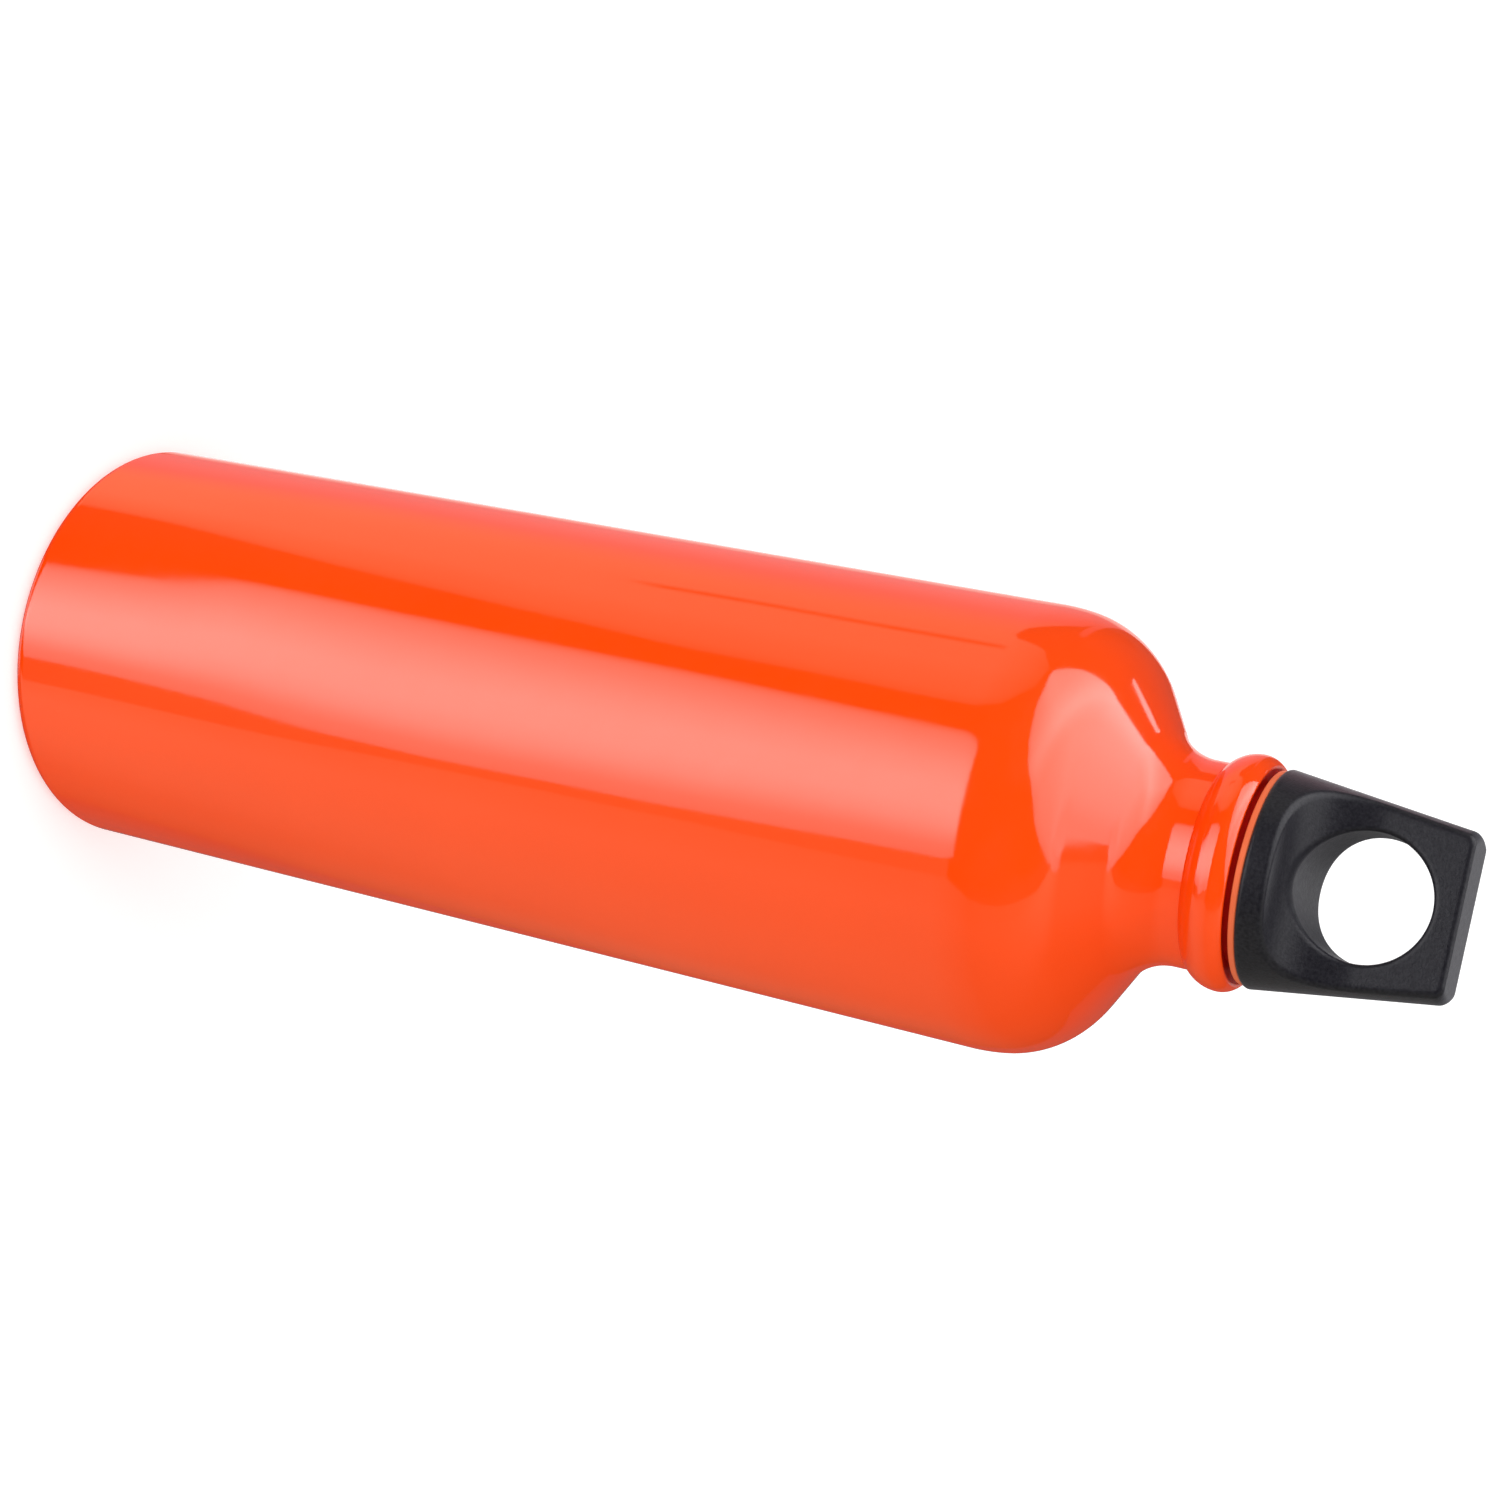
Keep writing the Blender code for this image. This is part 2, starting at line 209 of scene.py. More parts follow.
def turned(name, profile, materials, closed=False):
    """Solid of revolution. The profile is (r, z) points with one material index for each segment."""
    points = np.array(profile)
    turns = np.arange(TURN_STEPS) * math.tau / TURN_STEPS
    rings = np.stack(
        [
            points[:, None, 0] * np.cos(turns),
            points[:, None, 0] * np.sin(turns),
            np.repeat(points[:, None, 1], TURN_STEPS, axis=1),
        ],
        axis=-1,
    )
    rows = len(points)
    faces = []
    indices = []
    for i in range(rows if closed else rows - 1):
        this = i * TURN_STEPS
        following = (i + 1) % rows * TURN_STEPS
        for k in range(TURN_STEPS):
            n = (k + 1) % TURN_STEPS
            faces.append((this + k, this + n, following + n, following + k))
            indices.append(materials[i])
    mesh = bpy.data.meshes.new(name)
    mesh.from_pydata(rings.reshape(-1, 3).tolist(), [], faces)
    mesh.polygons.foreach_set("material_index", indices)
    return mesh


def close_up(mesh):
    """Merge the points on the axis and turn the faces outward."""
    bm = bmesh.new()
    bm.from_mesh(mesh)
    bmesh.ops.remove_doubles(bm, verts=bm.verts, dist=MERGE_DISTANCE)
    bmesh.ops.recalc_face_normals(bm, faces=bm.faces)
    bm.to_mesh(mesh)
    bm.free()
    mesh.shade_smooth()
    mesh.set_sharp_from_angle(angle=math.radians(SHARP_ANGLE))


def ridge(angle, height, top, bottom, offset):
    """Share, 0 to 1, of a right-hand thread's ridge at a place; it fades out at both ends."""
    phase = (height / THREAD_PITCH - angle / math.tau + offset) % 1.0
    away = np.abs(phase - 0.5) * THREAD_PITCH
    share = np.clip((THREAD_CREST / 2 + THREAD_FLANK - away) / THREAD_FLANK, 0.0, 1.0)
    share = share * share * (3 - 2 * share)
    fade_up = np.clip((top - height) / THREAD_FADE, 0, 1)
    fade_down = np.clip((height - bottom) / THREAD_FADE, 0, 1)
    return share * fade_up * fade_down


def collar_arc(end_r, end_z):
    """Arc from the collar's widest ring to a smaller ring above or below it."""
    drop = COLLAR_RADIUS - end_r
    rise = end_z - COLLAR_CROWN
    radius = (rise * rise + drop * drop) / (2 * drop)
    sweep = math.degrees(math.copysign(2 * math.atan2(drop, abs(rise)), rise))
    return arc(COLLAR_RADIUS - radius, COLLAR_CROWN, radius, 0, sweep)


def collar_bead():
    """Bead that turns the collar's top edge in towards the seal, from the groove outward."""
    lean = 2 * math.atan2(COLLAR_RADIUS - COLLAR_TOP_RADIUS, COLLAR_TOP - COLLAR_CROWN)
    centre_r = COLLAR_TOP_RADIUS - COLLAR_BEAD_RADIUS * math.cos(lean)
    centre_z = COLLAR_TOP - COLLAR_BEAD_RADIUS * math.sin(lean)
    return arc(centre_r, centre_z, COLLAR_BEAD_RADIUS, COLLAR_BEAD_END, math.degrees(lean), step=10)


def shoulder_arcs():
    """Outside of the shoulder, from the throat down: the solid's arc, eased into the straight wall."""
    turn = math.radians(SHOULDER_EASE_ANGLE)
    slack = SHOULDER_EASE_RADIUS - SHOULDER_RADIUS
    ease_r = BODY_RADIUS - SHOULDER_EASE_RADIUS
    centre_r = ease_r + slack * math.cos(turn)
    centre_z = BODY_STRAIGHT_TOP + (SHOULDER_CENTRE_R - centre_r) / math.tan(math.radians(SHOULDER_ANGLE))
    ease_z = centre_z - slack * math.sin(turn)
    points = arc(centre_r, centre_z, SHOULDER_RADIUS, SHOULDER_ANGLE, SHOULDER_EASE_ANGLE)
    points += arc(ease_r, ease_z, SHOULDER_EASE_RADIUS, SHOULDER_EASE_ANGLE, 0, step=1)[1:]
    return points


def base_dish(height):
    """Underside of the dished base, or its upper side when height is the base's wall."""
    turn = math.radians(90 - FOOT_STEP_ANGLE)
    reach = BASE_WALL + FOOT_STEP_RADIUS
    step_r = FOOT_INNER_RADIUS - reach * math.cos(turn)
    step_z = BASE_WALL - reach * math.sin(turn)
    points = arc(step_r, step_z, FOOT_STEP_RADIUS + height, 90 - FOOT_STEP_ANGLE, 90 - BASE_DOME_SLOPE)
    rim_r, rim_z = points[-1]
    dome_radius = rim_r / math.sin(math.radians(BASE_DOME_SLOPE))
    dome_z = rim_z - dome_radius * math.cos(math.radians(BASE_DOME_SLOPE))
    points += arc(0, dome_z, dome_radius, 90 - BASE_DOME_SLOPE, 90, step=0.5)[1:]
    points[-1] = (0.0, points[-1][1])
    return points


def shell_inside():
    """Inside of the shell, from the middle of the base up to the top of the mouth's chamfer."""
    points = base_dish(BASE_WALL)[::-1]
    corner_r = BODY_RADIUS - BODY_WALL - INSIDE_CORNER_RADIUS
    corner_z = BASE_WALL + INSIDE_CORNER_RADIUS
    points += arc(corner_r, corner_z, INSIDE_CORNER_RADIUS, -90, 0, step=10)
    shoulder_radius = SHOULDER_RADIUS - SHOULDER_THICKENING * BODY_WALL
    points += arc(SHOULDER_CENTRE_R, BODY_STRAIGHT_TOP, shoulder_radius, 0, SHOULDER_ANGLE)
    throat_radius = THROAT_CENTRE_R - MOUTH_RADIUS
    points += arc(THROAT_CENTRE_R, NECK_BOTTOM, throat_radius, 180 + SHOULDER_ANGLE, 180)
    bore_bottom = points[-1][1]
    bore_height = LIP_TOP - MOUTH_CHAMFER - bore_bottom
    rings = round(bore_height / BORE_RING_SPACING)
    points += [(MOUTH_RADIUS, bore_bottom + bore_height * i / rings) for i in range(1, rings + 1)]
    points += [(MOUTH_RADIUS + MOUTH_CHAMFER, LIP_TOP)]
    return points


def shell_outside():
    """Outside of the shell, from the groove round the lip down and in to the middle of the base."""
    points = [(LIP_RADIUS, COLLAR_TOP - GROOVE_DISH)]
    points += collar_bead()
    points += collar_arc(COLLAR_TOP_RADIUS, COLLAR_TOP)[::-1][1:]
    points += collar_arc(NECK_RADIUS, COLLAR_BOTTOM)[1:]
    points += arc(THROAT_CENTRE_R, NECK_BOTTOM, THROAT_RADIUS, 180, 180 + SHOULDER_ANGLE)
    points += shoulder_arcs()
    points += arc(BODY_RADIUS - BASE_EDGE_RADIUS, BASE_EDGE_RADIUS, BASE_EDGE_RADIUS, 0, -90, step=6)
    points += arc(FOOT_INNER_RADIUS, BASE_WALL, BASE_WALL, -90, -90 - FOOT_STEP_ANGLE, step=6)
    points += base_dish(0.0)[1:]
    return points


def raise_mouth_thread(mesh):
    """Move the points of the mouth's bore inward where the thread's ridge runs."""
    points = np.array([v.co for v in mesh.vertices])
    radius = np.hypot(points[:, 0], points[:, 1])
    angle = np.arctan2(points[:, 1], points[:, 0])
    share = ridge(angle, points[:, 2], MOUTH_THREAD_TOP, MOUTH_THREAD_BOTTOM, MOUTH_THREAD_OFFSET)
    on_bore = np.abs(radius - MOUTH_RADIUS) < BORE_TOLERANCE
    points[on_bore, :2] *= (1 - MOUTH_RIDGE * share / MOUTH_RADIUS)[on_bore, None]
    mesh.vertices.foreach_set("co", points.ravel())


def build_shell(lacquer, aluminium, groove_painted_shade):
    """Bare aluminium inside and on the lip, lacquer outside, and lacquer darkened with painted shade in
    the groove.
    """
    inside = shell_inside()
    lip = arc(LIP_RADIUS - LIP_EDGE_RADIUS, LIP_TOP - LIP_EDGE_RADIUS, LIP_EDGE_RADIUS, 90, 0, step=15)
    profile = inside + lip + shell_outside()
    bare = len(inside) + 1
    groove = len(inside) + len(lip)
    materials = [ALUMINIUM] * bare + [LACQUER] * (len(profile) - bare)
    # the groove's two segments get the lacquer darkened with painted shade
    materials[groove - 1:groove + 1] = [GROOVE_PAINTED_SHADE, GROOVE_PAINTED_SHADE]
    mesh = turned("shell", profile, materials)
    raise_mouth_thread(mesh)
    close_up(mesh)
    for material in (lacquer, aluminium, groove_painted_shade):
        mesh.materials.append(material)
    shell = add_object("lacquered_shell", mesh)
    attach(shell, "bottle")
    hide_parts("bottle_shell")


def build_seal(silicone):
    """Washer whose foot rests on the lip; its thinner brim reaches out under the cap's flange."""
    low = LIP_TOP + SEAL_CLEARANCE
    high = FLANGE_BOTTOM - SEAL_CLEARANCE
    brim = high - SEAL_BRIM_HEIGHT
    edge = SEAL_EDGE_RADIUS
    rim = SEAL_RADIUS - SEAL_INSET - edge
    profile = arc(rim, high - edge, edge, 90, 0, step=15)
    profile += arc(rim, brim + edge, edge, 0, -90, step=15)
    profile += [(SEAL_FOOT_RADIUS, brim), (SEAL_FOOT_RADIUS, low)]
    profile += arc(SEAL_BORE_RADIUS + edge, low + edge, edge, -90, -180, step=30)
    profile += arc(SEAL_BORE_RADIUS + edge, high - edge, edge, 180, 90, step=30)
    mesh = turned("seal", profile, [0] * len(profile), closed=True)
    close_up(mesh)
    mesh.materials.append(silicone)
    seal = add_object("silicone_seal", mesh)
    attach(seal, "seal")
    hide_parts("seal_ring")


def round_both(a, b, radius):
    """Field of what lies inside both a and b, with the edge where they meet rounded."""
    over = np.hypot(np.maximum(a + radius, 0), np.maximum(b + radius, 0))
    return np.minimum(np.maximum(a, b), -radius) + over


def scoop_field(y, height):
    """Negative where one scooped face leaves the cap solid; y is the distance from the middle.

    From the top: the flat face, a wide arc that eases out of it, the hollow, and a level shelf.
    """
    face = LOOP_THICKNESS / 2
    turn = math.radians(SCOOP_EASE_ANGLE)
    slack = SCOOP_EASE_RADIUS - SCOOP_RADIUS
    hollow_y = face + SCOOP_EASE_RADIUS - slack * math.cos(turn)
    ease_y = face + SCOOP_EASE_RADIUS
    ease_height = SCOOP_HEIGHT + slack * math.sin(turn)
    flat = y - face
    ease = SCOOP_EASE_RADIUS - np.hypot(y - ease_y, height - ease_height)
    hollow = SCOOP_RADIUS - np.hypot(y - hollow_y, height - SCOOP_HEIGHT)
    shelf = height - (SCOOP_HEIGHT - SCOOP_RADIUS)
    tilt = np.arctan2(SCOOP_HEIGHT - height, hollow_y - y)
    below = np.where(y > hollow_y, shelf, np.where(tilt > turn, hollow, ease))
    return np.where(height > ease_height, flat, below)


def loop_field(x, y, height):
    """Tapered loop and its flange, with two scooped faces and a round hole."""
    taper = math.radians(CAP_TAPER)
    flank = (np.hypot(x, y) - CAP_BASE_RADIUS) * math.cos(taper) + height * math.sin(taper)
    loop = round_both(flank, height - CAP_LENGTH, CAP_END_RADIUS)
    loop = round_both(loop, -height, FLANGE_EDGE_RADIUS)
    loop = round_both(loop, scoop_field(np.abs(y), height), LOOP_EDGE_RADIUS)
    hole = LOOP_HOLE_RADIUS - np.hypot(x, height - LOOP_HOLE_HEIGHT)
    return round_both(loop, hole, HOLE_EDGE_RADIUS)


def plug_field(x, y, z):
    """Threaded plug, which reaches up into the flange as far as the core does."""
    r = np.hypot(x, y)
    depth = FLANGE_BOTTOM - z
    share = ridge(np.arctan2(y, x), z, PLUG_THREAD_TOP, PLUG_THREAD_BOTTOM, PLUG_THREAD_OFFSET)
    plug = r - PLUG_RADIUS - PLUG_RIDGE * share
    lead_in = (r - PLUG_RADIUS + depth - PLUG_LENGTH + PLUG_LEAD_IN) / math.sqrt(2)
    plug = np.maximum(plug, lead_in)
    plug = round_both(plug, depth - PLUG_LENGTH, PLUG_END_RADIUS)
    return np.maximum(plug, -depth - CORE_ROOF)


def cap_field(points):
    """Signed distance to the cap's surface, about right near it: loop and plug less the core."""
    x, y, z = points[..., 0], points[..., 1], points[..., 2]
    height = z - FLANGE_BOTTOM
    core = round_both(np.hypot(x, y) - CORE_RADIUS, CORE_ROOF + height, CORE_FILLET)
    return np.maximum(np.minimum(loop_field(x, y, height), plug_field(x, y, z)), -core)


def field_slope(field, points):
    slope = np.empty_like(points)
    for axis in range(3):
        shift = np.zeros(3)
        shift[axis] = SLOPE_STEP
        slope[:, axis] = (field(points + shift) - field(points - shift)) / (2 * SLOPE_STEP)
    return slope


def onto_surface(field, points, rounds):
    """Points moved along the field's slope until they lie on its zero surface."""
    for _ in range(rounds):
        slope = field_slope(field, points)
        steep = np.maximum((slope * slope).sum(axis=1), LEAST_SLOPE * LEAST_SLOPE)
        move = slope * (field(points) / steep)[:, None]
        points = points - np.clip(move, -FIELD_CELL / 2, FIELD_CELL / 2)
    return points


def mesh_from_field(name, field, low, high):
    """Closed mesh of squares on a field's zero surface: one point for each grid cell it crosses."""
    counts = [math.ceil((high[i] - low[i]) / FIELD_CELL) + 1 for i in range(3)]
    axes = [low[i] + FIELD_CELL * np.arange(counts[i]) for i in range(3)]
    solid = field(np.stack(np.meshgrid(*axes, indexing="ij"), axis=-1)) < 0
    inside = np.zeros([n - 1 for n in counts], int)
    for i in (0, 1):
        for j in (0, 1):
            for k in (0, 1):
                inside += solid[i:counts[0] - 1 + i, j:counts[1] - 1 + j, k:counts[2] - 1 + k]
    crossed = (inside > 0) & (inside < 8)
    index = np.full(crossed.shape, -1)
    index[crossed] = np.arange(crossed.sum())
    points = np.array(low) + FIELD_CELL * (np.argwhere(crossed) + 0.5)

    quads = []
    for axis in range(3):
        change = np.diff(solid.astype(int), axis=axis)
        side = np.eye(3, dtype=int)[(axis + 1) % 3]
        other = np.eye(3, dtype=int)[(axis + 2) % 3]
        for leaving, order in ((-1, (0, 1, 2, 3)), (1, (3, 2, 1, 0))):
            edges = np.argwhere(change == leaving)
            cells = [edges - side - other, edges - other, edges, edges - side]
            corners = [index[tuple(cell.T)] for cell in cells]
            quads.append(np.stack([corners[i] for i in order], axis=1))
    quads = np.concatenate(quads)

    neighbours = np.concatenate([quads[:, [i, (i + 1) % 4]] for i in range(4)])
    neighbours = np.concatenate([neighbours, neighbours[:, ::-1]])
    degree = np.bincount(neighbours[:, 0], minlength=len(points))[:, None]
    points = onto_surface(field, points, FIRST_ROUNDS)
    for _ in range(SMOOTHING_PASSES):
        total = np.zeros_like(points)
        np.add.at(total, neighbours[:, 0], points[neighbours[:, 1]])
        points = onto_surface(field, (points + total / degree) / 2, SETTLING_ROUNDS)

    mesh = bpy.data.meshes.new(name)
    mesh.from_pydata(points.tolist(), [], quads.tolist())
    mesh.shade_smooth()
    return mesh


def build_cap(moulding):
    """Loop, flange and cored plug in one moulding."""
    reach = CAP_BASE_RADIUS + FIELD_MARGIN
    low = (-reach, -reach, PLUG_BOTTOM - FIELD_MARGIN)
    high = (reach, reach, CAP_TOP + FIELD_MARGIN)
    mesh = mesh_from_field("cap", cap_field, low, high)
    mesh.materials.append(moulding)
    cap = add_object("moulded_loop_cap", mesh)
    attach(cap, "cap")
    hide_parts("loop_cap")


class Finish:
    """A node material: a Principled shader, with helpers for what varies over the surface."""

    def __init__(self, name, colour, roughness, metallic=0.0, ior=1.5):
        self.material = bpy.data.materials.new(name)
        self.material.use_nodes = True
        self.nodes = self.material.node_tree.nodes
        self.links = self.material.node_tree.links
        self.shader = self.nodes["Principled BSDF"]
        self.shader.inputs["Base Color"].default_value = (*colour, 1.0)
        self.shader.inputs["Roughness"].default_value = roughness
        self.shader.inputs["Metallic"].default_value = metallic
        self.shader.inputs["IOR"].default_value = ior
        self.place = self.nodes.new("ShaderNodeTexCoord").outputs["Object"]
        self.normal = None

    def noise(self, size, detail=2.0, stretch=(1, 1, 1)):
        """Noise whose features are about size across; stretch squeezes them along an axis."""
        mapping = self.nodes.new("ShaderNodeMapping")
        mapping.inputs["Scale"].default_value = stretch
        texture = self.nodes.new("ShaderNodeTexNoise")
        texture.inputs["Scale"].default_value = 1 / size
        texture.inputs["Detail"].default_value = detail
        self.links.new(self.place, mapping.inputs["Vector"])
        self.links.new(mapping.outputs["Vector"], texture.inputs["Vector"])
        return texture.outputs["Fac"]

    def spread(self, value, low, high):
        """Noise spread from low to high."""
        node = self.nodes.new("ShaderNodeMapRange")
        node.inputs["From Min"].default_value = NOISE_LOW
        node.inputs["From Max"].default_value = NOISE_HIGH
        node.inputs["To Min"].default_value = low
        node.inputs["To Max"].default_value = high
        self.links.new(value, node.inputs["Value"])
        return node.outputs["Result"]

    def vary_roughness(self, value, low, high):
        self.links.new(self.spread(value, low, high), self.shader.inputs["Roughness"])

    def vary_colour(self, value, first, second):
        mix = self.nodes.new("ShaderNodeMix")
        mix.data_type = "RGBA"
        mix.inputs["A"].default_value = (*first, 1.0)
        mix.inputs["B"].default_value = (*second, 1.0)
        self.links.new(self.spread(value, 0, 1), mix.inputs["Factor"])
        self.links.new(mix.outputs["Result"], self.shader.inputs["Base Color"])

    def soften_rim(self, start, end, level):
        """Let the gloss fade from its full level to a lower one where the surface turns away."""
        weight = self.nodes.new("ShaderNodeLayerWeight")
        fade = self.nodes.new("ShaderNodeMapRange")
        fade.interpolation_type = "SMOOTHSTEP"
        fade.inputs["From Min"].default_value = start
        fade.inputs["From Max"].default_value = end
        fade.inputs["To Min"].default_value = self.shader.inputs["Specular IOR Level"].default_value
        fade.inputs["To Max"].default_value = level
        self.links.new(weight.outputs["Facing"], fade.inputs["Value"])
        self.links.new(fade.outputs["Result"], self.shader.inputs["Specular IOR Level"])

    def bump(self, value, height):
        """Add a bump over those already there."""
        node = self.nodes.new("ShaderNodeBump")
        node.inputs["Distance"].default_value = height
        self.links.new(value, node.inputs["Height"])
        if self.normal:
            self.links.new(self.normal, node.inputs["Normal"])
        self.normal = node.outputs["Normal"]
        self.links.new(self.normal, self.shader.inputs["Normal"])


def lacquer_finish():
    """Glossy orange lacquer with a slight wave and a faint grain."""
    finish = Finish("orange_lacquer_coat", (0.97, 0.066, 0.0026), 0.07)
    finish.vary_colour(finish.noise(30 * MM), (0.96, 0.064, 0.0022), (0.98, 0.068, 0.003))
    finish.vary_roughness(finish.noise(4 * MM), 0.06, 0.09)
    finish.bump(finish.noise(22 * MM, detail=1.0, stretch=(1, 1, 0.4)), 0.15 * MM)
    finish.bump(finish.noise(1.6 * MM, detail=1.0), 0.0012 * MM)
    finish.soften_rim(start=0.68, end=0.9, level=0.01)
    return finish.material


def groove_painted_shade_finish():
    """Lacquer in the groove under the seal, its colour darkened to painted shade and its gloss lowered."""
    finish = Finish("orange_lacquer_with_painted_groove_shade", (0.50, 0.006, 0.001), 0.4)
    finish.shader.inputs["Specular IOR Level"].default_value = 0.1
    # the dark red colours are painted shade of the deep groove, not the lacquer's own colour
    finish.vary_colour(finish.noise(3 * MM), (0.46, 0.005, 0.001), (0.54, 0.008, 0.001))
    finish.vary_roughness(finish.noise(2 * MM), 0.35, 0.5)
    return finish.material


def aluminium_finish():
    """Bare metal with fine rings left by the drawing."""
    finish = Finish("bare_aluminium", (0.80, 0.80, 0.80), 0.3, metallic=1.0)
    finish.vary_roughness(finish.noise(3 * MM), 0.24, 0.38)
    finish.bump(finish.noise(2 * MM, stretch=(0.02, 0.02, 12)), 0.004 * MM)
    return finish.material


def silicone_finish():
    """Matt orange rubber."""
    finish = Finish("silicone_rubber", (0.78, 0.14, 0.04), 0.5, ior=1.42)
    finish.vary_colour(finish.noise(6 * MM), (0.76, 0.13, 0.035), (0.80, 0.15, 0.045))
    finish.vary_roughness(finish.noise(1 * MM), 0.45, 0.6)
    finish.bump(finish.noise(0.5 * MM), 0.01 * MM)
    return finish.material


def moulding_finish():
    """Black plastic with the fine even grain of a spark-eroded mould."""
    finish = Finish("spark_textured_moulding", (0.0095, 0.009, 0.013), 0.38)
    finish.shader.inputs["Specular IOR Level"].default_value = 0.18
    finish.shader.inputs["Sheen Weight"].default_value = 0.14
    finish.shader.inputs["Sheen Roughness"].default_value = 0.4
    finish.shader.inputs["Sheen Tint"].default_value = (0.92, 0.9, 1.0, 1.0)
    grain = finish.noise(0.5 * MM, detail=3.0)
    finish.vary_colour(grain, (0.0055, 0.005, 0.0085), (0.0155, 0.015, 0.0195))
    finish.vary_roughness(finish.noise(0.8 * MM, detail=4.0), 0.34, 0.42)
    finish.bump(finish.noise(0.35 * MM, detail=3.0), 0.035 * MM)
    return finish.material


def add_world():
    """White to the camera, to gloss and to glass, and soft fill light for the rest."""
    world = bpy.data.worlds.new("studio")
    bpy.context.scene.world = world
    world.use_nodes = True
    nodes, links = world.node_tree.nodes, world.node_tree.links
    background = nodes["Background"]
    background.inputs["Color"].default_value = (1, 1, 1, 1)
    path = nodes.new("ShaderNodeLightPath")
    seen = path.outputs["Is Camera Ray"]
    for ray in ("Is Glossy Ray", "Is Transmission Ray"):
        either = nodes.new("ShaderNodeMath")
        either.operation = "MAXIMUM"
        links.new(seen, either.inputs[0])
        links.new(path.outputs[ray], either.inputs[1])
        seen = either.outputs["Value"]
    strength = nodes.new("ShaderNodeMapRange")
    strength.inputs["To Min"].default_value = FILL_LEVEL
    strength.inputs["To Max"].default_value = 1.0
    links.new(seen, strength.inputs["Value"])
    links.new(strength.outputs["Result"], background.inputs["Strength"])


def add_floor():
    """Plain pale floor that keeps the bottle's shadow; reflections look past it."""
    half = FLOOR_SIZE / 2
    corners = [(x * half, y * half, -FLOOR_DROP) for x, y in ((-1, -1), (1, -1), (1, 1), (-1, 1))]
    mesh = bpy.data.meshes.new("floor")
    mesh.from_pydata(corners, [], [(0, 1, 2, 3)])
    floor = add_object("floor", mesh)
    floor.visible_glossy = False
    material = bpy.data.materials.new("pale_floor")
    material.use_nodes = True
    nodes, links = material.node_tree.nodes, material.node_tree.links
    shader = nodes["Principled BSDF"]
    shader.inputs["Base Color"].default_value = (FLOOR_COLOUR, FLOOR_COLOUR, FLOOR_COLOUR, 1)
    shader.inputs["Roughness"].default_value = 1.0
    shader.inputs["Specular IOR Level"].default_value = 0.0
    shader.inputs["Emission Color"].default_value = (1, 1, 1, 1)
    lift = nodes.new("ShaderNodeMath")
    lift.operation = "MULTIPLY"
    lift.inputs[1].default_value = FLOOR_LIFT
    path = nodes.new("ShaderNodeLightPath")
    links.new(path.outputs["Is Camera Ray"], lift.inputs[0])
    links.new(lift.outputs["Value"], shader.inputs["Emission Strength"])
    mesh.materials.append(material)


def add_lamp(name, azimuth, elevation, strength):
    """Wide soft lamp, the same all over the floor."""
    light = bpy.data.lights.new(name, "SUN")
    light.angle = math.radians(LAMP_SPREAD)
    light.energy = strength
    lamp = add_object(name, light)
    away = direction(STUDIO_TURN + azimuth, elevation)
    lamp.location = MIDDLE + away
    lamp.rotation_mode = "QUATERNION"
    lamp.rotation_quaternion = away.to_track_quat("Z", "Y")
    lamp.visible_glossy = False


def card_mesh(name, distance, rows, peak):
    """Curved sheet whose UV map holds the way across and the row's light as a share of the peak."""
    points = []
    marks = []
    for elevation, left, right, light in rows:
        for way in np.linspace(0, 1, CARD_COLUMNS + 1):
            azimuth = STUDIO_TURN + left + (right - left) * way
            points.append(MIDDLE + direction(azimuth, elevation) * distance)
            marks.append((way, light / peak))
    width = CARD_COLUMNS + 1
    faces = []
    for i in range(len(rows) - 1):
        for k in range(CARD_COLUMNS):
            corner = i * width + k
            faces.append((corner, corner + 1, corner + width + 1, corner + width))
    mesh = bpy.data.meshes.new(name)
    mesh.from_pydata(points, [], faces)
    layout = mesh.uv_layers.new(name="light")
    for loop in mesh.loops:
        layout.data[loop.index].uv = marks[loop.vertex_index]
    return mesh


def card_light(name, peak, stops):
    """Glow of a card: the colour goes by the way across, from (way, colour) stops, the level by row."""
    material = bpy.data.materials.new(name)
    material.use_nodes = True
    nodes, links = material.node_tree.nodes, material.node_tree.links
    nodes.remove(nodes["Principled BSDF"])
    place = nodes.new("ShaderNodeTexCoord")
    split = nodes.new("ShaderNodeSeparateXYZ")
    ramp = nodes.new("ShaderNodeValToRGB")
    level = nodes.new("ShaderNodeMath")
    emission = nodes.new("ShaderNodeEmission")
    level.operation = "MULTIPLY"
    level.inputs[1].default_value = peak
    elements = ramp.color_ramp.elements
    elements.remove(elements[1])
    for i, (way, colour) in enumerate(stops):
        element = elements[0] if i == 0 else elements.new(way)
        element.position = way
        element.color = colour
    links.new(place.outputs["UV"], split.inputs["Vector"])
    links.new(split.outputs["X"], ramp.inputs["Fac"])
    links.new(split.outputs["Y"], level.inputs[0])
    links.new(ramp.outputs["Color"], emission.inputs["Color"])
    links.new(level.outputs["Value"], emission.inputs["Strength"])
    links.new(emission.outputs["Emission"], nodes["Material Output"].inputs["Surface"])
    return material


def add_card(name, distance, rows, shares, tint=(1, 1, 1), far_tint=None, far_part=0.0):
    """Curved studio card seen only in reflections; a nearer card hides what is behind it.

    Each row is an elevation, the azimuths of the card's left and right edge there, and the light
    given off. The shares are (way across from left to right, share of that light) pairs. The far
    part, a share of the way across from the left, has another tint.
    """
    peak = max(row[3] for row in rows)
    mesh = card_mesh(name, distance, rows, peak)
    stops = []
    for way, share in shares:
        shade = far_tint if way < far_part else tint
        stops.append((way, (*(share * part for part in shade), 1)))
    mesh.materials.append(card_light(name, peak, stops))
    card = add_object(name, mesh)
    for kind in ("camera", "diffuse", "transmission", "volume_scatter", "shadow"):
        setattr(card, "visible_" + kind, False)


